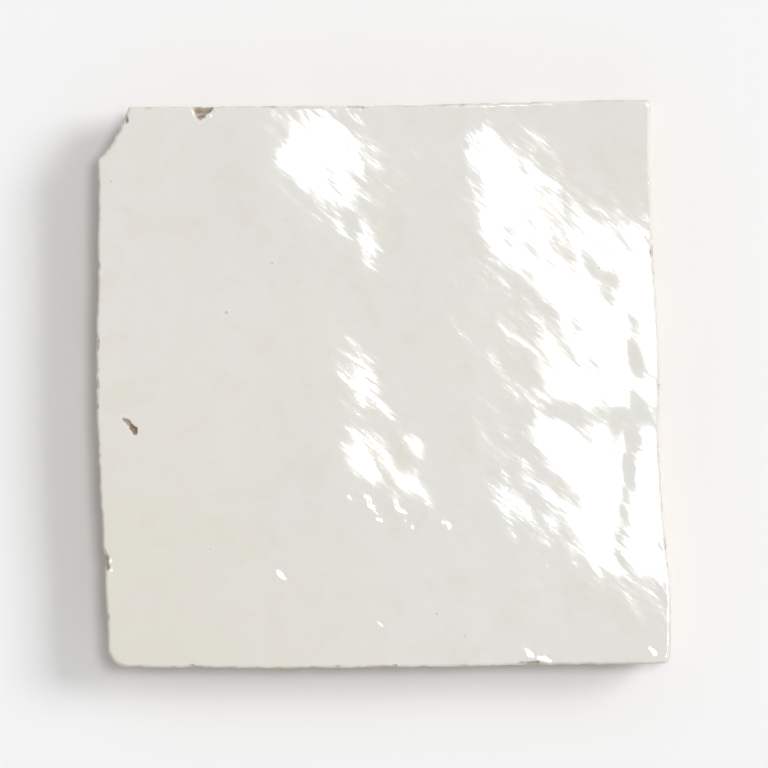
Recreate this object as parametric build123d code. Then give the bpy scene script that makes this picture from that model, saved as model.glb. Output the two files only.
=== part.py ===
from build123d import *
import math
import os

# Hand-cut glazed square of the ten-centimetre size, lying on its back with the glaze up.
# Millimetres. +Z is up, +Y is the top side, and the broken corner is at the top left.
# One piece of fired clay: the glaze is a skin on it and has no solid of its own.

# The square that the cutter marked out, and the mean height of its glaze
FACE_WIDTH = 98.0
FACE_DEPTH = 99.0
THICKNESS = 12.0

# How far each corner was struck away from the marked square, in X and Y
CORNER_SLIP = {
    "top_left": (-1.2, -0.9),
    "top_right": (-2.1, 0.5),
    "bottom_right": (1.2, 0.6),
    "bottom_left": (0.7, 0.1),
}
CORNER_RADIUS = {"top_right": 0.9, "bottom_right": 1.4, "bottom_left": 3.4}

# Each side runs clockwise from one corner to the next and wanders in and out on its way:
# how far along it is, and how far it stands out there
SIDES = {
    "top": ("top_left", "top_right", [(0.30, -0.15), (0.50, -0.35), (0.68, -0.20)]),
    "right": ("top_right", "bottom_right", [(0.26, -0.45), (0.48, -0.05), (0.70, -0.45), (0.83, 0.40)]),
    "bottom": ("bottom_right", "bottom_left", [(0.35, 0.25), (0.65, 0.45)]),
    "left": ("bottom_left", "top_left", [(0.20, 0.40), (0.40, 1.10), (0.69, 0.60)]),
}

# The corner that broke off, through the whole thickness
BREAK_ALONG_TOP = 5.4
BREAK_ALONG_LEFT = 8.8
BREAK_HOLLOW = 0.55
BREAK_LEAN = 13.0

# The sides: an upright band under the glaze, then hollow chisel cuts in to a smaller back
BAND_HEIGHT = 2.6
UNDERCUT = 2.3
BLOW_SPACING = 11.5
BLOW_RADIUS = 26.0
BLOW_SCATTER = 1.1

# A second, sparser row of cuts along the foot: where it starts, how far in from the side it is
# there and at the back, and its spacing and radius
FOOT_HEIGHT = 4.6
FOOT_START = 1.3
FOOT_UNDERCUT = 3.2
FOOT_SPACING = 19.0
FOOT_RADIUS = 15.0

# How far the glaze rolls over the edge of the face
GLAZE_ROLL = 0.5

# Chips off the edge of the glaze: side, distance along it, length, bite into the face, drop
CHIPS = [
    ("top", 18.4, 4.0, 1.7, 1.3),
    ("top", 46.0, 5.0, 0.5, 0.8),
    ("top", 64.5, 4.0, 0.4, 0.9),
    ("right", 26.8, 3.8, 0.8, 1.0),
    ("right", 80.0, 5.2, 0.5, 0.8),
    ("bottom", 24.0, 6.4, 0.8, 1.1),
    ("bottom", 58.0, 3.2, 0.4, 0.6),
    ("bottom", 83.0, 4.6, 0.5, 0.8),
    ("left", 18.6, 5.4, 1.0, 1.3),
    ("left", 57.0, 3.4, 0.5, 0.8),
]

# Swells and hollows that the hand left in the face: middle, spread along and across the turned
# direction, that direction's turn from +X in degrees, and rise (a hollow is negative)
SWELLS = [
    (-19.0, 34.5, 9.0, 9.0, 28.0, 0.62),
    (-10.0, -1.0, 5.5, 5.0, 40.0, 0.24),
    (-9.5, -17.0, 7.5, 7.0, 35.0, 0.36),
    (0.0, -21.0, 7.0, 4.0, 35.0, 0.12),
    (-46.0, -4.0, 16.0, 26.0, 0.0, -0.22),
    (-26.0, -34.0, 17.0, 13.0, 0.0, -0.09),
    (29.0, 46.0, 9.0, 10.0, 35.0, -0.36),
    (24.0, 60.0, 12.0, 10.0, 0.0, 0.10),
    (13.0, 24.0, 6.0, 10.0, -35.0, 0.14),
    (19.0, -14.0, 5.0, 6.5, 20.0, 0.08),
]

# Two laps where the face falls away to the right side: where the fall starts, its middle in Y,
# its spread in Y, and its drop at the side
LAPS = [
    (8.0, 20.0, 13.0, 1.10),
    (13.0, -13.0, 12.0, 0.95),
]
LAP_BEND = 1.7

# The wavy face: distance between the points it is drawn through, how closely it passes them,
# its reach past the sides, and the clay left above the mean height until it is cut away
WAVE_GRID = 3.5
WAVE_TOLERANCE = 0.002
WAVE_MARGIN = 6.0
HEADROOM = 3.0


def corner(name):
    """A struck corner of the face, in the plane of the back."""
    slip_x, slip_y = CORNER_SLIP[name]
    x = FACE_WIDTH / 2 if "right" in name else -FACE_WIDTH / 2
    y = FACE_DEPTH / 2 if "top" in name else -FACE_DEPTH / 2
    return Vector(x + slip_x, y + slip_y)


def left_of(direction):
    """The unit vector a quarter turn to the left: outwards, on a clockwise side."""
    return Vector(-direction.Y, direction.X).normalized()


def side_line(name):
    """One wandering side of the face as a curve."""
    start_name, end_name, wander = SIDES[name]
    start = corner(start_name)
    run = corner(end_name) - start
    outward = left_of(run)
    between = [start + run * share + outward * stands_out for share, stands_out in wander]
    return Edge.make_spline([start, *between, start + run])


def swell_height(x, y, swell):
    """Height of one swell at a point of the face."""
    middle_x, middle_y, spread_along, spread_across, turn, rise = swell
    cosine = math.cos(math.radians(turn))
    sine = math.sin(math.radians(turn))
    along = (x - middle_x) * cosine + (y - middle_y) * sine
    across = (y - middle_y) * cosine - (x - middle_x) * sine
    return rise * math.exp(-0.5 * ((along / spread_along) ** 2 + (across / spread_across) ** 2))


def lap_height(x, y, lap):
    """Height of one lap at a point: nothing, or a fall towards the right side."""
    start, middle_y, spread_y, drop = lap
    share = max(0.0, (x - start) / (FACE_WIDTH / 2 - start))
    return -drop * share**LAP_BEND * math.exp(-0.5 * ((y - middle_y) / spread_y) ** 2)


def face_height(x, y):
    """Height of the glaze above the back."""
    swells = sum(swell_height(x, y, swell) for swell in SWELLS)
    laps = sum(lap_height(x, y, lap) for lap in LAPS)
    return THICKNESS + swells + laps


def grid_line(half_length):
    """Evenly spaced places from one margin of the face to the other."""
    reach = half_length + WAVE_MARGIN
    steps = math.ceil(2 * reach / WAVE_GRID)
    return [-reach + 2 * reach * step / steps for step in range(steps + 1)]


def under_the_glaze():
    """Everything that lies below the wavy face."""
    columns = grid_line(FACE_WIDTH / 2)
    rows = grid_line(FACE_DEPTH / 2)
    points = [[Vector(x, y, face_height(x, y)) for y in rows] for x in columns]
    wavy_face = Face.make_surface_from_array_of_points(points, tol=WAVE_TOLERANCE)
    return Solid.extrude(wavy_face, Vector(0, 0, -2 * THICKNESS))


def struck_block():
    """An upright block with the wandering outline of the face and rounded corners."""
    outline = Face(Wire([side_line(name) for name in SIDES]))
    block = Solid.extrude(outline, Vector(0, 0, THICKNESS + HEADROOM))
    for name, radius in CORNER_RADIUS.items():
        upright = block.edges().filter_by(Axis.Z).sort_by_distance(corner(name))[0]
        block = fillet(upright, radius).solid()
    return block


def rolled_edge(block):
    """The block with the edge of its glazed face rounded over."""
    glazed_face = block.faces().sort_by(Axis.Z)[-1]
    return block.solid().fillet(GLAZE_ROLL, glazed_face.edges())


def leaning_cylinder(through, towards_back, outward, radius):
    """A cylinder whose inner side passes through a point and runs down in the given direction."""
    run = towards_back.normalized()
    sideways = run.cross(Vector(0, 0, 1)).normalized()
    away = sideways.cross(run).normalized()
    if away.dot(outward) < 0:
        away = away * -1
    length = 4 * THICKNESS
    middle = through + away * radius
    placed = Plane(origin=middle, x_dir=sideways, z_dir=run)
    return placed * Cylinder(radius, length)


def chisel_blows(name, start_height, start_inset, back_inset, spacing, radius):
    """One row of hollow cuts that take the lower part of a side in towards the back."""
    start_name, end_name, _ = SIDES[name]
    run = corner(end_name) - corner(start_name)
    line = side_line(name)
    outward = left_of(run)
    count = max(1, round(run.length / spacing))
    blows = []
    for blow in range(count):
        scatter = math.sin(2.4 * blow + 1.7 * len(name))
        distance = line.length * (blow + 0.5 + 0.18 * scatter) / count
        height = start_height + 0.6 * BLOW_SCATTER * scatter
        inset = back_inset + 0.4 * BLOW_SCATTER * math.cos(3.1 * blow + len(name))
        start = line.position_at(distance, PositionMode.LENGTH) - outward * start_inset
        down = outward * (start_inset - inset) - Vector(0, 0, height)
        blows.append(leaning_cylinder(start + Vector(0, 0, height), down, outward, radius))
    return blows


def broken_corner():
    """The leaning, slightly hollow break across the top left corner."""
    tip = corner("top_left")
    on_top = tip + (corner("top_right") - tip).normalized() * BREAK_ALONG_TOP
    on_left = tip + (corner("bottom_left") - tip).normalized() * BREAK_ALONG_LEFT
    chord = on_top - on_left
    outward = left_of(chord)
    radius = ((chord.length / 2) ** 2 + BREAK_HOLLOW**2) / (2 * BREAK_HOLLOW)
    deepest = (on_top + on_left) * 0.5 - outward * BREAK_HOLLOW + Vector(0, 0, THICKNESS)
    lean = math.radians(BREAK_LEAN)
    down = outward * -math.sin(lean) - Vector(0, 0, math.cos(lean))
    return leaning_cylinder(deepest, down, outward, radius)


def chip(side, distance, length, bite, drop):
    """A ball that takes one shell-shaped chip off the edge of the glaze."""
    line = side_line(side)
    place = line.position_at(distance, PositionMode.LENGTH)
    outward = left_of(line.tangent_at(distance, PositionMode.LENGTH))
    half = length / 2
    out = (half**2 - bite**2) / (2 * bite)
    up = (half**2 - drop**2) / (2 * drop)
    radius = math.sqrt(half**2 + out**2 + up**2)
    edge_height = face_height(place.X, place.Y)
    middle = place + outward * out + Vector(0, 0, edge_height + up)
    return Pos(middle.X, middle.Y, middle.Z) * Sphere(radius)


def zellige_tile():
    """The whole tile, with the middle of its outline over the origin."""
    tile = rolled_edge(struck_block() & under_the_glaze())
    for name in SIDES:
        tile = tile - chisel_blows(name, THICKNESS - BAND_HEIGHT, 0, UNDERCUT, BLOW_SPACING, BLOW_RADIUS)
        tile = tile - chisel_blows(name, FOOT_HEIGHT, FOOT_START, FOOT_UNDERCUT, FOOT_SPACING, FOOT_RADIUS)
    tile = tile - broken_corner()
    tile = tile - [chip(*row) for row in CHIPS]
    middle = tile.bounding_box().center()
    return Pos(-middle.X, -middle.Y, 0) * tile


os.makedirs("parts", exist_ok=True)
tile = zellige_tile()
print("solids", len(tile.solids()), "volume", round(tile.volume, 1), "box", tile.bounding_box())
export_step(tile.solid(), "parts/zellige_tile.step")
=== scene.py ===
import math
import random

import bmesh
import bpy
from mathutils import Matrix, Vector, noise
from mathutils.bvhtree import BVHTree
from mathutils.kdtree import KDTree


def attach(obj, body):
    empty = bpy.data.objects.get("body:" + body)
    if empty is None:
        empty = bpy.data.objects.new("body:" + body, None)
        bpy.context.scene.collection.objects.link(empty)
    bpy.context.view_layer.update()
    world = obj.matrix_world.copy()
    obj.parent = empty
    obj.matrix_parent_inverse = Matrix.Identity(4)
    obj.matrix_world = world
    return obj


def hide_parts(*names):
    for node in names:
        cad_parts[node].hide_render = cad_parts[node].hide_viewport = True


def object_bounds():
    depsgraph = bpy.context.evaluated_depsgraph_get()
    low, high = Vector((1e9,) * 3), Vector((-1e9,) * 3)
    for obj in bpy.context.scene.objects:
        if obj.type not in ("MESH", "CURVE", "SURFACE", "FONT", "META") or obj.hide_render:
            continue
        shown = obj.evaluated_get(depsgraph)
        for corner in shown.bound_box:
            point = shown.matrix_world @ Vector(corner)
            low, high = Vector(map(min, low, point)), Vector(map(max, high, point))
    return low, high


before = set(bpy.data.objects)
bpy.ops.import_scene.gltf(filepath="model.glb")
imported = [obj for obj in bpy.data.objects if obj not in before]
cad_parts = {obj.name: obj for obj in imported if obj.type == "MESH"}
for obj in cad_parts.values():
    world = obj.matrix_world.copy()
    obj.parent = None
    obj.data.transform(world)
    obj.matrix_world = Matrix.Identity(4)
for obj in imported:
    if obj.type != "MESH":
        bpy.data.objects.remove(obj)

cad_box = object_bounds()

# One hand-cut glazed square, lying on its back and seen straight from above.
# The shape is worked out in millimetres and put down in metres.
MM = 0.001
NODE = "zellige_tile"

# Sizes that the solid tile is made with. Its corners and forms are laid out round the middle of
# the square that the cutter marked, and the middle of its outline lies over the origin.
FACE_WIDTH = 98.0
FACE_DEPTH = 99.0
THICKNESS = 12.0
GLAZE_ROLL = 0.5
OUTLINE_MIDDLE = (0.079, 0.146)
CORNERS = {
    "top_left": (-50.2, 48.6),
    "top_right": (46.9, 50.0),
    "bottom_right": (50.2, -48.9),
    "bottom_left": (-48.3, -49.4),
}
SIDES = {
    "top": ("top_left", "top_right"),
    "right": ("top_right", "bottom_right"),
    "bottom": ("bottom_right", "bottom_left"),
    "left": ("bottom_left", "top_left"),
}

# Swells of the face: middle, spread along and across the turned direction, turn, rise
SWELLS = [
    (-19.0, 34.5, 9.0, 9.0, 28.0, 0.62),
    (-10.0, -1.0, 5.5, 5.0, 40.0, 0.24),
    (-9.5, -17.0, 7.5, 7.0, 35.0, 0.36),
    (0.0, -21.0, 7.0, 4.0, 35.0, 0.12),
    (-46.0, -4.0, 16.0, 26.0, 0.0, -0.22),
    (-26.0, -34.0, 17.0, 13.0, 0.0, -0.09),
    (29.0, 46.0, 9.0, 10.0, 35.0, -0.36),
    (24.0, 60.0, 12.0, 10.0, 0.0, 0.10),
    (13.0, 24.0, 6.0, 10.0, -35.0, 0.14),
    (19.0, -14.0, 5.0, 6.5, 20.0, 0.08),
]

# Small ridges and grooves that only the glaze has, in the same form
SMALL_SWELLS = [
    (-4.8, 22.2, 2.4, 3.6, 20.0, 0.13),
    (-21.5, 36.0, 3.2, 2.6, 28.0, 0.09),
    (24.0, 51.5, 9.0, 3.6, 0.0, 0.15),
    (16.5, 31.0, 13.0, 2.8, -78.0, 0.05),
    (38.0, 23.0, 10.0, 4.0, -15.0, 0.09),
    (31.0, 14.5, 6.0, 3.5, -37.0, 0.08),
    (24.6, 18.0, 4.0, 3.0, -37.0, 0.055),
    (37.8, 15.4, 1.5, 3.2, 35.0, -0.07),
    (42.2, 7.0, 1.4, 4.5, 0.0, -0.09),
    (-7.5, 2.0, 4.0, 2.6, -55.0, 0.035),
    (-3.0, -5.5, 6.0, 1.6, -10.0, 0.03),
    (35.0, -3.0, 10.0, 1.9, 0.0, 0.08),
    (41.3, -15.5, 1.5, 9.0, -6.0, -0.11),
    (29.5, -12.5, 5.0, 3.0, -55.0, 0.07),
    (24.8, -9.5, 3.0, 3.0, 0.0, 0.045),
    (18.8, -22.0, 4.5, 2.6, -60.0, 0.075),
    (-8.0, -13.5, 5.0, 3.2, -50.0, 0.07),
    (3.2, -19.8, 5.0, 3.0, -25.0, 0.065),
    (4.4, -11.6, 2.3, 1.5, -50.0, 0.075),
    (36.9, -33.0, 6.5, 3.0, -33.0, 0.045),
    (-6.6, 28.2, 1.8, 1.8, 0.0, -0.045),
    (28.5, 3.5, 4.5, 3.0, -60.0, 0.05),
    (26.5, -3.5, 3.0, 2.0, 0.0, 0.04),
]

# Laps down to the right side: start, middle in Y, spread in Y, drop at the side
LAPS = [
    (8.0, 20.0, 13.0, 1.10),
    (13.0, -13.0, 12.0, 0.95),
]
LAP_BEND = 1.7

# Waves that the brush left in the glaze, in three sizes: seed, how many, turn of their long way,
# length, width, and mean slope. The face lies lower by the room, so that they stay in the solid.
BRUSHED = [
    (16, 24, -45.0, 16.0, 7.0, 0.005),
    (116, 60, -48.0, 9.0, 4.5, 0.006),
    (216, 50, -50.0, 6.5, 1.9, 0.0055),
]
RIPPLE_ROOM = 0.075

# Spots where the glaze leans towards the window and catches it: middle, spread along and across
# the turned direction, turn, and slope of the lean
LEANS = [
    (-2.5, -20.6, 1.40, 0.65, -48.0, 0.052),
    (2.9, -22.0, 1.70, 0.80, -54.0, 0.052),
    (-0.7, -23.6, 0.75, 0.60, 0.0, 0.050),
    (4.9, -25.2, 0.85, 0.65, -50.0, 0.042),
    (11.1, -24.6, 0.75, 0.70, 0.0, 0.044),
    (-5.8, -19.9, 0.85, 0.70, 0.0, 0.046),
    (-18.0, -33.2, 0.85, 0.80, 30.0, 0.085),
    (-0.6, -42.2, 0.60, 0.50, 0.0, 0.040),
    (25.6, -47.2, 0.95, 0.65, -25.0, 0.080),
    (27.8, -48.0, 0.95, 0.55, -12.0, 0.075),
    (-48.3, -30.6, 0.60, 1.40, 0.0, 0.080),
    (47.2, -46.8, 0.60, 0.60, 0.0, 0.070),
    (-30.2, 47.1, 0.40, 0.80, -8.0, 0.050),
]
WINDOW_BEARING = 30.0

# Pits in the glaze: middle, half length, half width, turn of the long way, depth, brownness
PITS = [
    (-44.9, -6.7, 1.05, 0.48, -46.0, 0.18, 0.75),
    (-43.9, -7.9, 0.95, 0.50, -56.0, 0.36, 1.0),
    (-32.0, 47.3, 1.00, 0.70, 70.0, 0.15, 0.8),
    (-27.6, 12.5, 0.34, 0.28, 0.0, 0.05, 0.55),
    (-30.4, -29.0, 0.36, 0.26, 30.0, 0.05, 0.5),
]
PIT_REACH = 1.7

# Chips that the solid tile has: side, distance along it, length, bite, drop
CHIPS = [
    ("top", 18.4, 4.0, 1.7, 1.3),
    ("top", 46.0, 5.0, 0.5, 0.8),
    ("top", 64.5, 4.0, 0.4, 0.9),
    ("right", 26.8, 3.8, 0.8, 1.0),
    ("right", 80.0, 5.2, 0.5, 0.8),
    ("bottom", 24.0, 6.4, 0.8, 1.1),
    ("bottom", 58.0, 3.2, 0.4, 0.6),
    ("bottom", 83.0, 4.6, 0.5, 0.8),
    ("left", 18.6, 5.4, 1.0, 1.3),
    ("left", 57.0, 3.4, 0.5, 0.8),
]

# Small chips between them: how many on a side, where, length and how much of it is left, and
# bite and drop as shares of the length
SMALL_CHIPS_PER_SIDE = 15
SMALL_CHIP_PLACES = (5.0, 95.0)
SMALL_CHIP_LENGTHS = (0.7, 2.6)
SMALL_CHIP_SHRINK = (0.6, 1.0)
SMALL_CHIP_BITES = (0.13, 0.24)
SMALL_CHIP_DROPS = (0.18, 0.34)
CHIP_GRAIN = 0.07

# Hammer bites along the edge: the least, and what the fine and the broad ones add
NIBBLES = (0.04, 0.28, 0.40)

# Where the glaze ends below the rolled edge: its mean, how far it wanders, and its longest runs
GLAZE_LINE = (0.55, 0.5, 1.3)

# Torn clay of the sides: size and depth of its flats, its small flats and its tears, and the
# least depth and the grain all over
FLATS = (4.2, 0.55)
SMALL_FLATS = (1.7, 0.20)
TEARS = (1.5, 0.14)
CLAY_LEAST = 0.04
CLAY_GRAIN = 0.05

# The back, above the plane that the tile rests on: broad hollows, drag marks and holes, and the
# width of the border where they fade out
BACK_BROAD = 0.20
BACK_DRAGGED = 0.13
BACK_HOLES = 0.6
BACK_BORDER = 3.0

# The mesh: squares across the face and across the back, the width of the rim that is left for
# rings, how near a small mark the squares are cut finer, and how many cuts each of them gets
FACE_SQUARES = 168
BACK_SQUARES = 84
RIM = 2.0
FINE_REACH = 2.0
FINE_CUTS = 3

# Its rings: over the rim as shares of it, round the rolled edge in degrees, down the glazed part
# of the sides as shares of the way to the back, down the clay, and round the worn lower edge
RIM_SHARES = (0.86, 0.73, 0.61, 0.50, 0.40, 0.32)
ROLL_TURNS = (0, 18, 36, 54, 72, 90)
GLAZED_SHARES = [0.016, 0.034, 0.052, 0.072, 0.094, 0.118, 0.145, 0.175, 0.208]
CLAY_RINGS = 18
BACK_TURNS = (30, 60, 90)

# The worn lower edge: its radius, and the level at which the foot of the sides is measured
BACK_ROLL = 0.35
FOOT_LEVEL = BACK_ROLL * 0.3

# The highest level at which a side is measured: in the upright band, below the chips. The broken
# corner has no band, so it is measured nearly up to the glaze, between its two bearings.
BAND_LEVEL = 9.65
BREAK_LEVEL = 11.35
BREAK_BEARINGS = (131.5, 142.5)

# How far out the measuring rays start: from the tile's middle, and from the line of a side
RAY_START = 90.0
SIDE_RAY_START = 8.0

# How far under the glaze's own height a point still counts as face, up to what height one counts
# as back, and how far in from the edge and how low the chips are looked for
FACE_DROP = 0.6
BACK_TOP = 0.01
CHIP_INSET = 3.5
CHIP_FOOT = 7.0

# The noise is seeded, so that ragged outlines come out the same each time
noise.seed_set(21)


def turned(x, y, middle_x, middle_y, turn):
    """How far a point lies from a middle, along a turned direction and across it."""
    cosine = math.cos(math.radians(turn))
    sine = math.sin(math.radians(turn))
    along = (x - middle_x) * cosine + (y - middle_y) * sine
    across = (y - middle_y) * cosine - (x - middle_x) * sine
    return along, across


def swell_height(x, y, swell):
    """Height of one swell at a point of the face."""
    middle_x, middle_y, spread_along, spread_across, turn, rise = swell
    along, across = turned(x, y, middle_x, middle_y, turn)
    return rise * math.exp(-0.5 * ((along / spread_along) ** 2 + (across / spread_across) ** 2))


def lean_height(x, y, lean):
    """Height of one spot that leans towards the window: down on its near side, up on its far one."""
    towards, _ = turned(x, y, lean[0], lean[1], WINDOW_BEARING)
    return -towards * swell_height(x, y, lean)


def lap_height(x, y, lap):
    """Height of one lap at a point: nothing, or a fall towards the right side."""
    start, middle_y, spread_y, drop = lap
    share = max(0.0, (x - start) / (FACE_WIDTH / 2 - start))
    return -drop * share**LAP_BEND * math.exp(-0.5 * ((y - middle_y) / spread_y) ** 2)


def pit_share(x, y, pit):
    """How far a point is from a pit's middle, as a share of its half size."""
    middle_x, middle_y, half_length, half_width, turn = pit[:5]
    along, across = turned(x, y, middle_x, middle_y, turn)
    return math.hypot(along / half_length, across / half_width)


def wander(x, y, z, size, reach):
    """A small shift that makes an outline ragged."""
    return noise.noise_vector(Vector((x, y, z)) / size) * reach


class Ripple:
    """Many waves of one size, long along one direction and short across it."""

    def __init__(self, seed, count, turn, length, width, slope):
        draw = random.Random(seed)
        cosine = math.cos(math.radians(turn))
        sine = math.sin(math.radians(turn))
        self.rise = slope * math.sqrt(2.0 / count) / (2 * math.pi * math.hypot(1 / length, 1 / width))
        self.waves = []
        for _ in range(count):
            along = draw.gauss(0.0, 2 * math.pi) / length
            across = draw.gauss(0.0, 2 * math.pi) / width
            shift = draw.uniform(0.0, 2 * math.pi)
            self.waves.append((along * cosine - across * sine, along * sine + across * cosine, shift))

    def height(self, x, y):
        return self.rise * sum(math.cos(per_x * x + per_y * y + shift) for per_x, per_y, shift in self.waves)


RIPPLES = [Ripple(*row) for row in BRUSHED]


def face_height(x, y):
    """Height of the glaze above the back, with the solid tile's swells and laps and its own fine ones."""
    plan_x = x + OUTLINE_MIDDLE[0]
    plan_y = y + OUTLINE_MIDDLE[1]
    height = THICKNESS - RIPPLE_ROOM + sum(ripple.height(x, y) for ripple in RIPPLES)
    for swell in SWELLS + SMALL_SWELLS:
        height += swell_height(plan_x, plan_y, swell)
    ragged = wander(x, y, 8.8, 0.9, 0.5)
    for lean in LEANS:
        height += lean_height(x + ragged.x, y + ragged.y, lean)
    for lap in LAPS:
        height += lap_height(plan_x, plan_y, lap)
    return height


def smooth_step(low, high, value):
    """0 at low, 1 at high, and a soft change between them."""
    share = min(1.0, max(0.0, (value - low) / (high - low)))
    return share * share * (3.0 - 2.0 * share)


def plan_direction(x, y):
    """The unit direction from the tile's middle to a point of its plan."""
    length = math.hypot(x, y)
    return Vector((x / length, y / length, 0.0))


def round_tile(direction, scale, layer):
    """A place in the noise for a direction, on a ring, so that what follows it has no seam."""
    return Vector((direction.x * scale, direction.y * scale, layer))


def nibble(direction):
    """How far the hammer's small bites take the edge of the glaze in, in a direction."""
    least, fine_share, broad_share = NIBBLES
    fine = noise.fractal(round_tile(direction, 42.0, 4.4), 0.8, 2.2, 3)
    broad = noise.noise(round_tile(direction, 11.0, 6.6))
    return least + fine_share * max(0.0, fine) + broad_share * max(0.0, broad - 0.15)


def glaze_line(direction):
    """How far below the rolled edge the glaze ends, in a direction."""
    mean, reach, longest = GLAZE_LINE
    broad = noise.fractal(round_tile(direction, 6.0, 1.3), 0.8, 2.0, 3)
    run = noise.noise(round_tile(direction, 27.0, 7.7))
    return mean + reach * broad + longest * max(0.0, run - 0.25)


class SolidTile:
    """The solid tile's surface, to measure its outline and its cut sides from."""

    def __init__(self):
        shape = bmesh.new()
        shape.from_mesh(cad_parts[NODE].data)
        bmesh.ops.remove_doubles(shape, verts=shape.verts, dist=1e-7)
        bmesh.ops.scale(shape, vec=(1 / MM, 1 / MM, 1 / MM), verts=shape.verts)
        self.tree = BVHTree.FromBMesh(shape)
        shape.free()

    def reach(self, direction, height):
        """Distance from the middle to the side, in a direction and at a height."""
        bearing = math.degrees(math.atan2(direction.y, direction.x))
        broken = BREAK_BEARINGS[0] < bearing < BREAK_BEARINGS[1]
        level = min(height, BREAK_LEVEL if broken else BAND_LEVEL)
        start = Vector((direction.x * RAY_START, direction.y * RAY_START, level))
        hit = self.tree.ray_cast(start, Vector((-direction.x, -direction.y, 0.0)))
        return math.hypot(hit[0].x, hit[0].y)

    def edge(self, direction):
        """Distance from the middle to the edge of the face, as if no chip were off it."""
        return self.reach(direction, THICKNESS)

    def inset(self, x, y):
        """How far inside the edge a point of the face lies, on the line from the middle."""
        reach = self.edge(plan_direction(x, y)) if x or y else 1.0
        return (1.0 - math.hypot(x, y) / reach) * FACE_WIDTH / 2

    def side_top(self, direction):
        """Height at which the side begins, under the rolled edge."""
        reach = self.edge(direction)
        return face_height(direction.x * reach, direction.y * reach) - GLAZE_ROLL

    def side_place(self, side, distance):
        """The point of a side at a distance from the corner where it starts."""
        start = Vector(CORNERS[SIDES[side][0]])
        run = (Vector(CORNERS[SIDES[side][1]]) - start).normalized()
        outward = Vector((-run.y, run.x))
        point = start + run * distance - Vector(OUTLINE_MIDDLE) + outward * SIDE_RAY_START
        hit = self.tree.ray_cast(Vector((*point, BAND_LEVEL)), Vector((*-outward, 0.0)))
        return hit[0]


def near_points(points):
    """A search tree over points."""
    tree = KDTree(len(points))
    for index, point in enumerate(points):
        tree.insert(point, index)
    tree.balance()
    return tree


def border_edges(shape):
    """The open edges of the mesh."""
    return [edge for edge in shape.edges if edge.is_boundary]


def lay_out_square(tile, verts, level, inset):
    """Move the points of a square grid so that its border follows the tile's outline."""
    for vert in verts:
        share = max(abs(vert.co.x), abs(vert.co.y))
        if share < 1e-6:
            continue
        direction = plan_direction(vert.co.x * FACE_WIDTH, vert.co.y * FACE_DEPTH)
        reach = tile.reach(direction, level) * (1.0 - inset / (FACE_WIDTH / 2))
        vert.co.x = direction.x * reach * share
        vert.co.y = direction.y * reach * share


def refine_small_marks(shape):
    """Cut the grid finer round the pits and leaning spots that lie inside its border."""
    tree = near_points([(row[0], row[1], 0.0) for row in PITS + LEANS])
    near = {vert for vert in shape.verts if not vert.is_boundary and tree.find(vert.co)[2] < FINE_REACH}
    edges = [edge for edge in shape.edges if edge.verts[0] in near and edge.verts[1] in near]
    bmesh.ops.subdivide_edges(shape, edges=edges, cuts=FINE_CUTS, use_grid_fill=True)


def make_face(shape, tile):
    """The glazed face as a square grid, with its border a little inside the edge."""
    bmesh.ops.create_grid(shape, x_segments=FACE_SQUARES, y_segments=FACE_SQUARES, size=1.0)
    lay_out_square(tile, shape.verts, THICKNESS, RIM)
    refine_small_marks(shape)
    bmesh.ops.subdivide_edges(shape, edges=border_edges(shape), cuts=1)
    for vert in shape.verts:
        vert.co.z = face_height(vert.co.x, vert.co.y)


def next_ring(shape, edges):
    """Extrude the open border once, and return its new points and the new border."""
    made = bmesh.ops.extrude_edge_only(shape, edges=edges)["geom"]
    verts = [part for part in made if isinstance(part, bmesh.types.BMVert)]
    border = [part for part in made if isinstance(part, bmesh.types.BMEdge) and part.is_boundary]
    return verts, border


def add_rim(shape, tile, edges):
    """Rings over the last millimetres of the face and round the rolled edge."""
    steps = [(RIM * share, 0.0) for share in RIM_SHARES]
    for turn in ROLL_TURNS:
        angle = math.radians(turn)
        steps.append((GLAZE_ROLL * (1.0 - math.sin(angle)), GLAZE_ROLL * (1.0 - math.cos(angle))))
    for inset, drop in steps:
        verts, edges = next_ring(shape, edges)
        for vert in verts:
            direction = plan_direction(vert.co.x, vert.co.y)
            bitten = inset + nibble(direction) * smooth_step(1.4, 0.0, inset)
            vert.co = direction * tile.edge(direction) * (1.0 - bitten / (FACE_WIDTH / 2))
            vert.co.z = face_height(vert.co.x, vert.co.y) - drop
    return edges


def add_sides(shape, tile, edges):
    """Rings down the sides, close together under the glaze and wider towards the back."""
    start = GLAZED_SHARES[-1]
    even = [start + (1.0 - start) * (step + 1) / CLAY_RINGS for step in range(CLAY_RINGS)]
    for share in GLAZED_SHARES + even:
        verts, edges = next_ring(shape, edges)
        for vert in verts:
            direction = plan_direction(vert.co.x, vert.co.y)
            top = tile.side_top(direction)
            height = top + (BACK_ROLL - top) * share
            bitten = nibble(direction) * smooth_step(2.2, 0.0, top - height)
            vert.co = direction * (tile.reach(direction, height) - bitten)
            vert.co.z = height
    return edges


def add_back_roll(shape, tile, edges):
    """Rings round the worn lower edge, down to the back."""
    for turn in BACK_TURNS:
        angle = math.radians(turn)
        inset = BACK_ROLL * (1.0 - math.cos(angle))
        verts, edges = next_ring(shape, edges)
        for vert in verts:
            direction = plan_direction(vert.co.x, vert.co.y)
            vert.co = direction * (tile.reach(direction, FOOT_LEVEL) - inset)
            vert.co.z = BACK_ROLL * (1.0 - math.sin(angle))
    return edges


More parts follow.
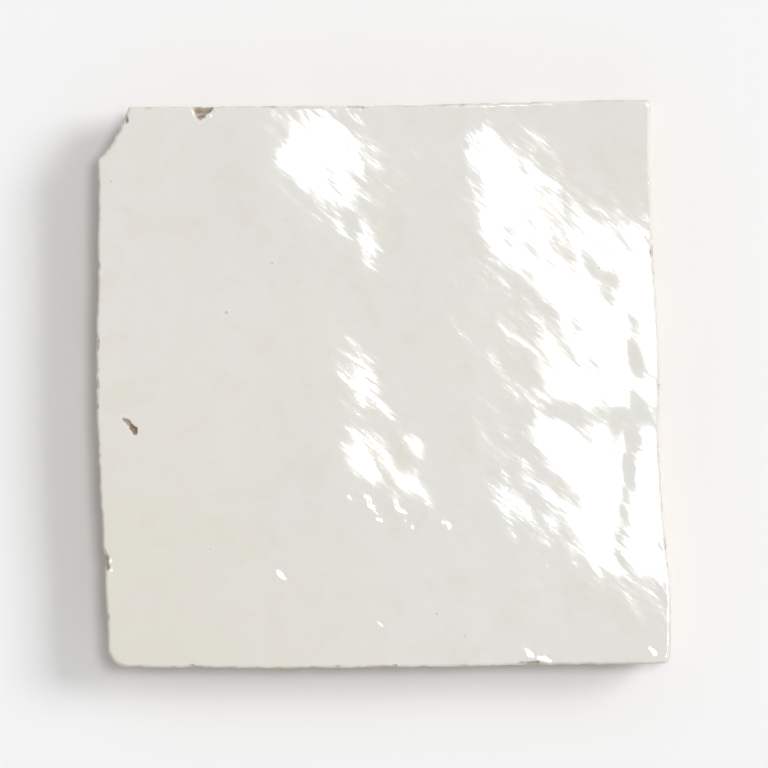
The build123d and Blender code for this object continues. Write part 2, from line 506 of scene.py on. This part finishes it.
def add_back(shape, tile, edges):
    """The back as a coarser grid, made below the tile and joined to the last ring point by point."""
    ring = [vert.co.copy() for vert in {vert for edge in edges for vert in edge.verts}]
    tree = near_points(ring)
    level = -1.0
    below = Matrix.Translation((0.0, 0.0, level))
    bmesh.ops.create_grid(shape, x_segments=BACK_SQUARES, y_segments=BACK_SQUARES, size=1.0, matrix=below)
    lay_out_square(tile, [vert for vert in shape.verts if vert.co.z < level / 2], FOOT_LEVEL, BACK_ROLL)
    border = [edge for edge in border_edges(shape) if edge.verts[0].co.z < level / 2]
    bmesh.ops.subdivide_edges(shape, edges=border, cuts=2 * FACE_SQUARES // BACK_SQUARES - 1)
    for vert in shape.verts:
        if vert.co.z < level / 2:
            vert.co.z = 0.0
            if vert.is_boundary:
                vert.co = ring[tree.find(vert.co)[1]]
    seam = [vert for vert in shape.verts if vert.is_boundary]
    bmesh.ops.remove_doubles(shape, verts=seam, dist=1e-4)
    bmesh.ops.holes_fill(shape, edges=border_edges(shape), sides=4)


def chip_ball(tile, side, distance, length, bite, drop):
    """Middle and radius of the ball that takes one shell-shaped chip off the edge."""
    place = tile.side_place(side, distance)
    run = (tile.side_place(side, distance + 1.0) - tile.side_place(side, distance - 1.0)).normalized()
    outward = Vector((-run.y, run.x))
    half = length / 2
    out = (half**2 - bite**2) / (2 * bite)
    up = (half**2 - drop**2) / (2 * drop)
    height = face_height(place.x, place.y)
    middle = Vector((place.x + outward.x * out, place.y + outward.y * out, height + up))
    return middle, math.sqrt(half**2 + out**2 + up**2)


def all_chips(tile):
    """The balls of the solid tile's chips and of many small ones along the edge."""
    draw = random.Random(11)
    balls = [chip_ball(tile, *row) for row in CHIPS]
    for side in SIDES:
        for _ in range(SMALL_CHIPS_PER_SIDE):
            distance = draw.uniform(*SMALL_CHIP_PLACES)
            length = draw.uniform(*SMALL_CHIP_LENGTHS) * draw.uniform(*SMALL_CHIP_SHRINK)
            bite = length * draw.uniform(*SMALL_CHIP_BITES)
            drop = length * draw.uniform(*SMALL_CHIP_DROPS)
            balls.append(chip_ball(tile, side, distance, length, bite, drop))
    return balls


def push_out(vert, balls):
    """Push a point that lies in a chip's ball out to its torn surface, and return how far it moved."""
    before = vert.co.copy()
    torn = wander(*before, 1.1, 0.4)
    for middle, radius in balls:
        away = vert.co + torn - middle
        if away.length_squared < radius * radius:
            vert.co += away.normalized() * (radius - away.length)
    return (vert.co - before).length


def roughen_chip(vert, depth):
    """Give a point of a chip the grain of broken clay, inwards and down."""
    rough = noise.fractal(vert.co * 1.9, 0.7, 2.1, 4)
    inward = Vector((-vert.co.x, -vert.co.y, 0.0)).normalized()
    grain = (inward * 0.6 + Vector((0, 0, -0.8))) * CHIP_GRAIN
    vert.co += grain * (rough + 0.4) * smooth_step(0.0, 0.4, depth)


def flake_depth(point, size):
    """Depth, 0 to about 1, of broken flats of about one size, each tilted its own way."""
    distances, places = noise.voronoi(point / size)
    away = point / size - places[0]
    tilt = noise.cell_vector(places[0] * 7.3) * 2.0 - Vector((1.0, 1.0, 1.0))
    shelf = noise.cell(places[0] * 5.1)
    return min(1.0, max(0.0, 0.5 + 0.28 * shelf + 1.1 * tilt.dot(away)))


def clay_depth(point):
    """How far torn clay lies inside the solid tile's surface at a point of the sides."""
    bent = point + wander(*point, 2.2, 0.8)
    flats = flake_depth(Vector((bent.x, bent.y, bent.z * 0.75)), FLATS[0])
    small_flats = flake_depth(bent + Vector((3.0, 7.0, 1.0)), SMALL_FLATS[0])
    torn = noise.fractal(point / TEARS[0], 0.7, 2.1, 4)
    grain = noise.noise(point * 1.9)
    depth = CLAY_LEAST + FLATS[1] * flats + SMALL_FLATS[1] * small_flats
    return depth + TEARS[1] * max(0.0, torn) + CLAY_GRAIN * grain


def back_hollow(x, y):
    """How far the rough back lies above the plane that the tile rests on."""
    dragged = noise.noise(Vector((x / 14.0 + y / 40.0, y / 2.6, 5.5)))
    broad = noise.fractal(Vector((x / 17.0, y / 17.0, 1.1)), 0.7, 2.0, 3)
    hole = noise.noise(Vector((x / 2.1, y / 2.1, 9.2)))
    return max(0.0, BACK_BROAD * broad + BACK_DRAGGED * dragged) + BACK_HOLES * max(0.0, hole - 0.55)


class Marks:
    """The numbers that the mesh carries at its points, for the material to follow."""

    def __init__(self, shape):
        new = shape.verts.layers.float.new
        # Millimetres that the glaze reaches past a point, less than 0 on bare clay
        self.glaze = new("glaze")
        # 1 at the edge of the face and down the sides, 0 inside the face
        self.wear = new("wear")
        # How brown a pit is
        self.pitted = new("pitted")
        # How deep torn clay lies, and on the back how high its hollows lie; the material paints shade into
        # the deep places and light onto the shallow ones
        self.hollow = new("hollow")
        # How deep a chip is; the material paints shade into a chip's deep middle from this
        self.chipped = new("chipped")


def finish_face_point(vert, marks, inset):
    """Glaze, wear and pits at one point of the face."""
    vert[marks.glaze] = 1.0
    vert[marks.wear] = 1.0 - smooth_step(0.15, 1.1, inset)
    x, y = vert.co.xy
    ragged = wander(x, y, 3.1, 0.75, 0.26)
    for pit in PITS:
        depth, brownness = pit[5:]
        share = pit_share(x + ragged.x, y + ragged.y, pit)
        if share < PIT_REACH:
            vert.co.z -= depth * (1.0 - smooth_step(0.35, 1.25, share))
            brown = brownness * (1.0 - smooth_step(0.8, PIT_REACH, share))
            vert[marks.pitted] = max(vert[marks.pitted], brown)


def finish_back_point(vert, marks):
    """The rough back at one point, with a flat border to rest on."""
    x, y = vert.co.xy
    vert[marks.glaze] = -1.0
    from_side = FACE_WIDTH / 2 - BACK_BORDER - max(abs(x), abs(y))
    vert.co.z = back_hollow(x, y) * smooth_step(0.0, BACK_BORDER, from_side)
    # The higher a hollow of the back lies, the more painted shade the material gives it.
    vert[marks.hollow] = 0.22 + 2.6 * vert.co.z


def finish_side_point(vert, tile, marks):
    """Glaze or torn clay at one point of the sides."""
    direction = plan_direction(vert.co.x, vert.co.y)
    glaze_end = tile.side_top(direction) - glaze_line(direction)
    vert[marks.glaze] = min(1.0, vert.co.z - glaze_end)
    vert[marks.wear] = 1.0
    bare = 1.0 - smooth_step(-0.35, 0.1, vert[marks.glaze])
    depth = clay_depth(vert.co)
    # The deeper the torn clay, the more painted shade the material gives it; the shallower, the more painted
    # light.
    vert[marks.hollow] = depth * bare
    vert.co -= direction * depth * bare


def chip_edge(verts, tile, marks):
    """Knock the chips off the edge, and mark the bare clay in them and along the edge."""
    balls = all_chips(tile)
    moved = {}
    for vert in verts:
        depth = push_out(vert, balls)
        if depth > 0.0:
            moved[vert] = depth
            roughen_chip(vert, depth)
    for vert in verts:
        direction = plan_direction(vert.co.x, vert.co.y)
        if vert[marks.wear] > 0.6:
            thin = 0.30 - nibble(direction) * vert[marks.wear]
            vert[marks.glaze] = min(vert[marks.glaze], thin)
    for vert, depth in moved.items():
        vert[marks.glaze] = min(vert[marks.glaze], 0.07 - depth)
        vert[marks.chipped] = smooth_step(0.0, 1.6, depth)


def finish_surface(shape, tile):
    """Pits, bare clay, the rough back and the chips, each with its marks."""
    marks = Marks(shape)
    near_edge = []
    for vert in shape.verts:
        x, y, z = vert.co
        inset = tile.inset(x, y)
        if face_height(x, y) - z < FACE_DROP:
            finish_face_point(vert, marks, inset)
        if z > CHIP_FOOT and inset < CHIP_INSET:
            near_edge.append(vert)
    for vert in shape.verts:
        if vert.co.z < BACK_TOP:
            finish_back_point(vert, marks)
        elif vert[marks.glaze] <= 0.0:
            finish_side_point(vert, tile, marks)
    chip_edge(near_edge, tile, marks)


def put(name, data):
    """A new object in the scene, at the origin."""
    thing = bpy.data.objects.new(name, data)
    bpy.context.scene.collection.objects.link(thing)
    return thing


def make_tile(tile):
    """The whole tile as one closed mesh."""
    shape = bmesh.new()
    make_face(shape, tile)
    edges = add_rim(shape, tile, border_edges(shape))
    edges = add_sides(shape, tile, edges)
    edges = add_back_roll(shape, tile, edges)
    add_back(shape, tile, edges)
    finish_surface(shape, tile)
    bmesh.ops.scale(shape, vec=(MM, MM, MM), verts=shape.verts)
    bmesh.ops.recalc_face_normals(shape, faces=shape.faces)
    for face in shape.faces:
        face.smooth = True
    mesh = bpy.data.meshes.new("glazed_square")
    shape.to_mesh(mesh)
    shape.free()
    return put("glazed_square", mesh)


def linear(level):
    """One screen level, 0 to 255, as light."""
    share = level / 255.0
    return share / 12.92 if share <= 0.04045 else ((share + 0.055) / 1.055) ** 2.4


def colour(shade):
    """A screen colour of three levels as light, or a link left as it is."""
    if isinstance(shade, Value):
        return shade
    return tuple(linear(level) for level in shade) + (1.0,)


class Value:
    """A number or colour in a material. Python sums on it become Math nodes."""

    def __init__(self, bench, socket):
        self.bench = bench
        self.socket = socket

    def __add__(self, other):
        return self.bench.sum("ADD", self, other)

    def __radd__(self, other):
        return self.bench.sum("ADD", other, self)

    def __sub__(self, other):
        return self.bench.sum("SUBTRACT", self, other)

    def __rsub__(self, other):
        return self.bench.sum("SUBTRACT", other, self)

    def __mul__(self, other):
        return self.bench.sum("MULTIPLY", self, other)

    def __rmul__(self, other):
        return self.bench.sum("MULTIPLY", other, self)


# Sockets of a Mix node that mixes colours
MIX_FACTOR = 0
MIX_FIRST = 6
MIX_SECOND = 7
MIX_RESULT = 2


class Bench:
    """Builds the nodes of one material, or of the world."""

    def __init__(self, owner):
        owner.use_nodes = True
        self.owner = owner
        self.tree = owner.node_tree
        self.tree.nodes.clear()

    def node(self, kind, settings=None, inputs=None):
        """One node: its settings first, then the values or links of its sockets."""
        made = self.tree.nodes.new("ShaderNode" + kind)
        for name, setting in (settings or {}).items():
            setattr(made, name, setting)
        for name, value in (inputs or {}).items():
            target = made.inputs[name]
            if isinstance(value, Value):
                self.tree.links.new(value.socket, target)
            else:
                target.default_value = value
        return made

    def value(self, node, name):
        return Value(self, node.outputs[name])

    def sum(self, operation, first, second):
        node = self.node("Math", {"operation": operation}, {0: first, 1: second})
        return self.value(node, 0)

    def place(self, stretch=(1, 1, 1), turn=0.0):
        """Object coordinates, turned about Z and then stretched."""
        source = self.value(self.node("TexCoord"), "Object")
        back = {"Vector": source, "Rotation": (0, 0, math.radians(-turn))}
        swung = self.value(self.node("Mapping", None, back), "Vector")
        return self.value(self.node("Mapping", None, {"Vector": swung, "Scale": stretch}), "Vector")

    def along(self, direction):
        """How far a place lies in a direction from the middle, in metres."""
        inputs = {0: self.value(self.node("TexCoord"), "Object"), 1: direction}
        return self.value(self.node("VectorMath", {"operation": "DOT_PRODUCT"}, inputs), "Value")

    def grain(self, scale, detail=2.0, roughness=0.5, distortion=0.0, at=None):
        """A soft random pattern from 0 to 1, scale in features a metre."""
        inputs = {"Vector": at or self.place(), "Scale": scale, "Detail": detail}
        inputs.update({"Roughness": roughness, "Distortion": distortion})
        return self.value(self.node("TexNoise", None, inputs), "Fac")

    def cells(self, scale):
        """Distance to the nearest of many scattered points, and a random number for each."""
        node = self.node("TexVoronoi", None, {"Vector": self.place(), "Scale": scale})
        apart = self.node("SeparateColor", None, {"Color": self.value(node, "Color")})
        return self.value(node, "Distance"), self.value(apart, "Red")

    def dots(self, scale, edge, middle, share):
        """Small round dots, 1 inside and 0 outside, at a share of many scattered points."""
        distance, pick = self.cells(scale)
        return self.rise(distance, edge, middle) * self.rise(pick, 1.0 - share, 1.02 - share)

    def rise(self, value, low, high):
        """0 below low, 1 above high, with a soft rise. Falls where low is above high."""
        settings = {"interpolation_type": "SMOOTHSTEP"}
        inputs = {"Value": value, "From Min": min(low, high), "From Max": max(low, high)}
        if low > high:
            inputs.update({"To Min": 1.0, "To Max": 0.0})
        return self.value(self.node("MapRange", settings, inputs), "Result")

    def mark(self, name):
        """A number that the mesh carries at its points."""
        node = self.node("Attribute", {"attribute_name": name, "attribute_type": "GEOMETRY"})
        return self.value(node, "Fac")

    def blend(self, factor, first, second):
        """Two colours mixed by a factor."""
        inputs = {MIX_FACTOR: factor, MIX_FIRST: colour(first), MIX_SECOND: colour(second)}
        return self.value(self.node("Mix", {"data_type": "RGBA"}, inputs), MIX_RESULT)

    def bump(self, height, distance, under=None):
        """A normal bent by a height from 0 to 1, over a distance in metres."""
        inputs = {"Height": height, "Distance": distance, "Strength": 1.0}
        if under:
            inputs["Normal"] = under
        return self.value(self.node("Bump", None, inputs), "Normal")

    def finish(self, inputs):
        """The surface shader and the output."""
        surface = self.node("BsdfPrincipled", None, inputs)
        self.node("OutputMaterial", None, {"Surface": self.value(surface, "BSDF")})
        return self.owner


# Screen colours of the glaze, of its worn edge and its marks, and of the fired clay with the shade and light
# painted on it
GLAZE_WARM = (228, 225, 218)
GLAZE_COOL = (226, 225, 219)
GLAZE_PALE = (230, 228, 222)
GLAZE_BEIGE = (223, 219, 205)
GLAZE_PINK = (227, 219, 213)
GLAZE_THIN = (206, 190, 170)
GLAZE_CORE = (232, 227, 217)
# The pit brown is also painted shade in the deep middle of a chip.
PIT_BROWN_AND_CHIP_SHADE = (146, 126, 100)
SPECK_BROWN = (160, 142, 116)
CLAY_CREAM = (224, 213, 195)
CLAY_TAN = (210, 194, 171)
CLAY_BROWN = (172, 149, 122)
CLAY_PINK = (210, 186, 168)
# The pale grit colour is also painted light, with chalky rubbing, on the clay's shallow ridges.
CLAY_GRIT_AND_RIDGE_LIGHT = (238, 231, 216)
CLAY_PORE = (126, 104, 82)
# The dusky colour is painted shade, with some dust, in the clay's deep hollows.
CLAY_DUST_AND_SHADE = (158, 136, 112)
CHIP_PINK = (200, 182, 171)

# Finish of the glaze, of the smears on it and of its pits, and of the clay and the glaze's core
GLAZE_ROUGH = 0.045
SMEAR_ROUGH = 0.04
PIT_ROUGH = 0.6
CLAY_ROUGH = 0.88
CORE_SMOOTHER = 0.4
GLAZE_IOR = 1.52

# Height of the finest relief, in metres, and how the brush's streaks run
GLAZE_RELIEF = 0.000017
CLAY_RELIEF = 0.00055
STREAK_SCALE = (200.0, 900.0, 400.0)
STREAK_TURN = -37.0


def glaze_clouds(bench):
    """Pale warm grey with cool clouds and faint upright bands, more beige to the lower left."""
    clouds = bench.grain(30.0, 2.0, 0.55)
    shade = bench.blend(bench.rise(clouds, 0.36, 0.62), GLAZE_WARM, GLAZE_COOL)
    bands = bench.grain(1.0, 2.0, 0.5, 0.3, bench.place((95.0, 16.0, 16.0)))
    shade = bench.blend(bench.rise(bands, 0.48, 0.75) * 0.5, shade, GLAZE_PALE)
    lower_left = bench.along((-0.7, -0.7, 0.0))
    return bench.blend(bench.rise(lower_left, 0.018, 0.078) * 0.85, shade, GLAZE_BEIGE)


def glaze_mottle(bench, shade):
    """Small beige and pink patches, a fine pale grain and a few brown specks over a shade."""
    mottle = bench.grain(120.0, 3.0, 0.6, 0.4)
    shade = bench.blend(bench.rise(mottle, 0.50, 0.68) * 0.5, shade, GLAZE_BEIGE)
    blush = bench.grain(170.0, 3.0, 0.6, 0.6, bench.place((1, 1, 1), 50.0))
    shade = bench.blend(bench.rise(blush, 0.52, 0.70) * 0.6, shade, GLAZE_PINK)
    fine = bench.grain(700.0, 2.0, 0.6)
    shade = bench.blend(bench.rise(fine, 0.35, 0.85) * 0.22, shade, GLAZE_PALE)
    return bench.blend(bench.dots(210.0, 0.06, 0.02, 0.14) * 0.6, shade, SPECK_BROWN)


def glaze_colour(bench):
    """The glaze with its thin beige edge, in patches, and its brown pits."""
    shade = glaze_mottle(bench, glaze_clouds(bench))
    patchy = bench.rise(bench.grain(130.0, 2.0, 0.5), 0.35, 0.62)
    worn = bench.rise(bench.mark("wear") + bench.grain(420.0, 3.0, 0.6) * 0.8, 1.1, 1.6)
    shade = bench.blend(worn * patchy * 0.9, shade, GLAZE_THIN)
    brown = bench.blend(bench.grain(2600.0, 2.0, 0.6), PIT_BROWN_AND_CHIP_SHADE, CLAY_PORE)
    return bench.blend(bench.rise(bench.mark("pitted"), 0.3, 0.9), shade, brown)


def clay_clouds(bench):
    """Fired clay from cream to tan, with pink and brown clouds, with painted shade and some dust where it is
    torn deep and painted light with chalky rubbing on its shallow ridges.
    """
    clouds = bench.grain(60.0, 4.0, 0.6)
    shade = bench.blend(bench.rise(clouds, 0.35, 0.65), CLAY_TAN, CLAY_CREAM)
    blush = bench.grain(34.0, 2.0, 0.5)
    shade = bench.blend(bench.rise(blush, 0.5, 0.7) * 0.5, shade, CLAY_PINK)
    mottle = bench.grain(330.0, 4.0, 0.65)
    shade = bench.blend(bench.rise(mottle, 0.54, 0.75) * 0.45, shade, CLAY_BROWN)
    hollow = bench.mark("hollow")
    # Painted shade, with some dust, in the deep hollows of the torn clay and the back.
    shade = bench.blend(bench.rise(hollow, 0.42, 0.75) * 0.38, shade, CLAY_DUST_AND_SHADE)
    # Painted light, with chalky rubbing, on the shallow ridges of the torn clay.
    return bench.blend(bench.rise(hollow, 0.26, 0.10) * 0.35, shade, CLAY_GRIT_AND_RIDGE_LIGHT)


def clay_colour(bench):
    """The clay with its pale grit and dark pores, pink at the rim of a chip and painted brown shade in its
    deep middle.
    """
    shade = clay_clouds(bench)
    shade = bench.blend(bench.dots(1500.0, 0.34, 0.22, 0.12) * 0.35, shade, CLAY_GRIT_AND_RIDGE_LIGHT)
    shade = bench.blend(bench.dots(900.0, 0.26, 0.14, 0.16) * 0.6, shade, CLAY_PORE)
    chipped = bench.mark("chipped") * (1.3 - bench.grain(900.0, 3.0, 0.6) * 0.6)
    shade = bench.blend(bench.rise(chipped, 0.0, 0.08) * 0.75, shade, CHIP_PINK)
    # Painted shade: the deep middle of a chip is darkened brown.
    return bench.blend(bench.rise(chipped, 0.35, 0.75) * 0.75, shade, PIT_BROWN_AND_CHIP_SHADE)


def roughness(bench, glazed, core):
    """Glossy glaze with faint smears and dull pits, and dull clay, smoother in the glaze's core."""
    pitted = bench.rise(bench.mark("pitted"), 0.02, 0.15)
    smears = bench.grain(120.0, 3.0, 0.6)
    glaze_rough = GLAZE_ROUGH + SMEAR_ROUGH * bench.rise(smears, 0.45, 0.75) + PIT_ROUGH * pitted
    return glazed * glaze_rough + (1.0 - glazed) * (CLAY_ROUGH - CORE_SMOOTHER * core)


def fine_relief(bench, glazed):
    """The grain of the clay, and the brush's streaks and the faint peel of the glaze."""
    clay_height = bench.grain(1100.0, 6.0, 0.75) * (1.0 - glazed)
    clay_bump = bench.bump(clay_height, CLAY_RELIEF)
    streaks = bench.grain(1.0, 3.0, 0.55, 0.0, bench.place(STREAK_SCALE, STREAK_TURN))
    peel = bench.grain(620.0, 2.0, 0.5)
    glaze_height = (streaks * 0.75 + peel * 0.25) * glazed
    return bench.bump(glaze_height, GLAZE_RELIEF, clay_bump)


def glazed_clay():
    """One material for the tile: gloss where the glaze lies and dull clay where it doesn't."""
    bench = Bench(bpy.data.materials.new("glazed_clay"))
    ragged = (bench.grain(1300.0, 3.0, 0.6) - 0.5) * 0.22
    edge = bench.mark("glaze") + ragged
    glazed = bench.rise(edge, -0.02, 0.02)
    core = bench.rise(edge, -0.30, -0.22)
    shade = bench.blend(core, clay_colour(bench), GLAZE_CORE)
    shade = bench.blend(glazed, shade, glaze_colour(bench))
    inputs = {"Base Color": shade, "Roughness": roughness(bench, glazed, core)}
    inputs.update({"Normal": fine_relief(bench, glazed), "IOR": GLAZE_IOR})
    return bench.finish(inputs)


# The studio: half width and white of the floor, light from all round, and how high the camera is
# and how much of the frame's width the tile fills
FLOOR_REACH = 3.0
FLOOR_WHITE = (246, 246, 246)
WORLD_LIGHT = 0.335
CAMERA_HEIGHT = 5.0
FRAME_SHARE = 0.75

# Soft lamps: tilt from straight up, bearing from +X, distance, width across, length, radiance.
# The curtain is the soft border of the window.
LAMPS = {
    "window": (9.6, WINDOW_BEARING, 12.0, 2.05, 2.50, 19.0),
    "curtain": (9.6, WINDOW_BEARING, 12.1, 2.40, 2.90, 3.0),
    "key": (50.0, 20.0, 7.0, 2.8, 2.8, 9.8),
}

# Thin bands of light all round, which the waves of the glaze break up in low views:
# tilt from straight up, height, radiance
BANDS = [
    (75, 0.10, 1.8),
    (68, 0.09, 2.4),
    (60, 0.08, 3.6),
    (52, 0.06, 4.6),
    (43, 0.06, 6.0),
]
BAND_DISTANCE = 7.0
BAND_SIDES = 8


def add_floor():
    """A wide matte white floor under the tile."""
    shape = bmesh.new()
    bmesh.ops.create_grid(shape, x_segments=1, y_segments=1, size=FLOOR_REACH)
    mesh = bpy.data.meshes.new("floor")
    shape.to_mesh(mesh)
    shape.free()
    bench = Bench(bpy.data.materials.new("studio_white"))
    mesh.materials.append(bench.finish({"Base Color": colour(FLOOR_WHITE), "Roughness": 0.9}))
    put("floor", mesh)


def add_world():
    """Even light from all round, and white where the camera or a reflection looks past the floor."""
    world = bpy.data.worlds.new("studio_air")
    bpy.context.scene.world = world
    bench = Bench(world)
    path = bench.node("LightPath")
    seen = bench.value(path, "Is Camera Ray")
    for kind in ("Is Glossy Ray", "Is Transmission Ray"):
        seen = bench.sum("MAXIMUM", seen, bench.value(path, kind))
    white = bench.node("MapRange", None, {"Value": seen, "To Min": WORLD_LIGHT, "To Max": 1.0})
    air = bench.node("Background", None, {"Strength": bench.value(white, "Result")})
    bench.node("OutputWorld", None, {"Surface": bench.value(air, "Background")})


def add_lamp(name, tilt, bearing, distance, across, along, radiance):
    """A soft square lamp that looks at the tile."""
    lamp = bpy.data.lights.new(name, "AREA")
    lamp.shape = "RECTANGLE"
    lamp.size = across
    lamp.size_y = along
    lamp.energy = radiance * math.pi * across * along
    thing = put(name, lamp)
    tilt = math.radians(tilt)
    bearing = math.radians(bearing)
    out = Vector((math.cos(bearing), math.sin(bearing), 0.0)) * math.sin(tilt)
    thing.location = (out + Vector((0.0, 0.0, math.cos(tilt)))) * distance
    thing.rotation_euler = (-thing.location).to_track_quat("-Z", "Y").to_euler()


def add_bands():
    """The bands of light, each a ring of long thin lamps."""
    width = 2 * BAND_DISTANCE * math.tan(math.pi / BAND_SIDES)
    for tilt, height, radiance in BANDS:
        across = width * math.sin(math.radians(tilt))
        for side in range(BAND_SIDES):
            bearing = 360.0 * side / BAND_SIDES
            add_lamp(f"band_{tilt}_{side}", tilt, bearing, BAND_DISTANCE, across, height, radiance)


def add_camera():
    """A long lens straight above the tile."""
    width = (cad_box[1][0] - cad_box[0][0]) / FRAME_SHARE
    camera = bpy.data.cameras.new("overhead")
    camera.sensor_width = 36.0
    camera.lens = camera.sensor_width * (CAMERA_HEIGHT - cad_box[1][2]) / width
    camera.clip_end = 50.0
    thing = put("overhead", camera)
    thing.location = (0.0, 0.0, CAMERA_HEIGHT)
    bpy.context.scene.camera = thing


square = make_tile(SolidTile())
square.data.materials.append(glazed_clay())
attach(square, "root")
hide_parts(NODE)
add_floor()
add_world()
for lamp_name, row in LAMPS.items():
    add_lamp(lamp_name, *row)
add_bands()
add_camera()
bpy.context.scene.view_settings.view_transform = "Standard"
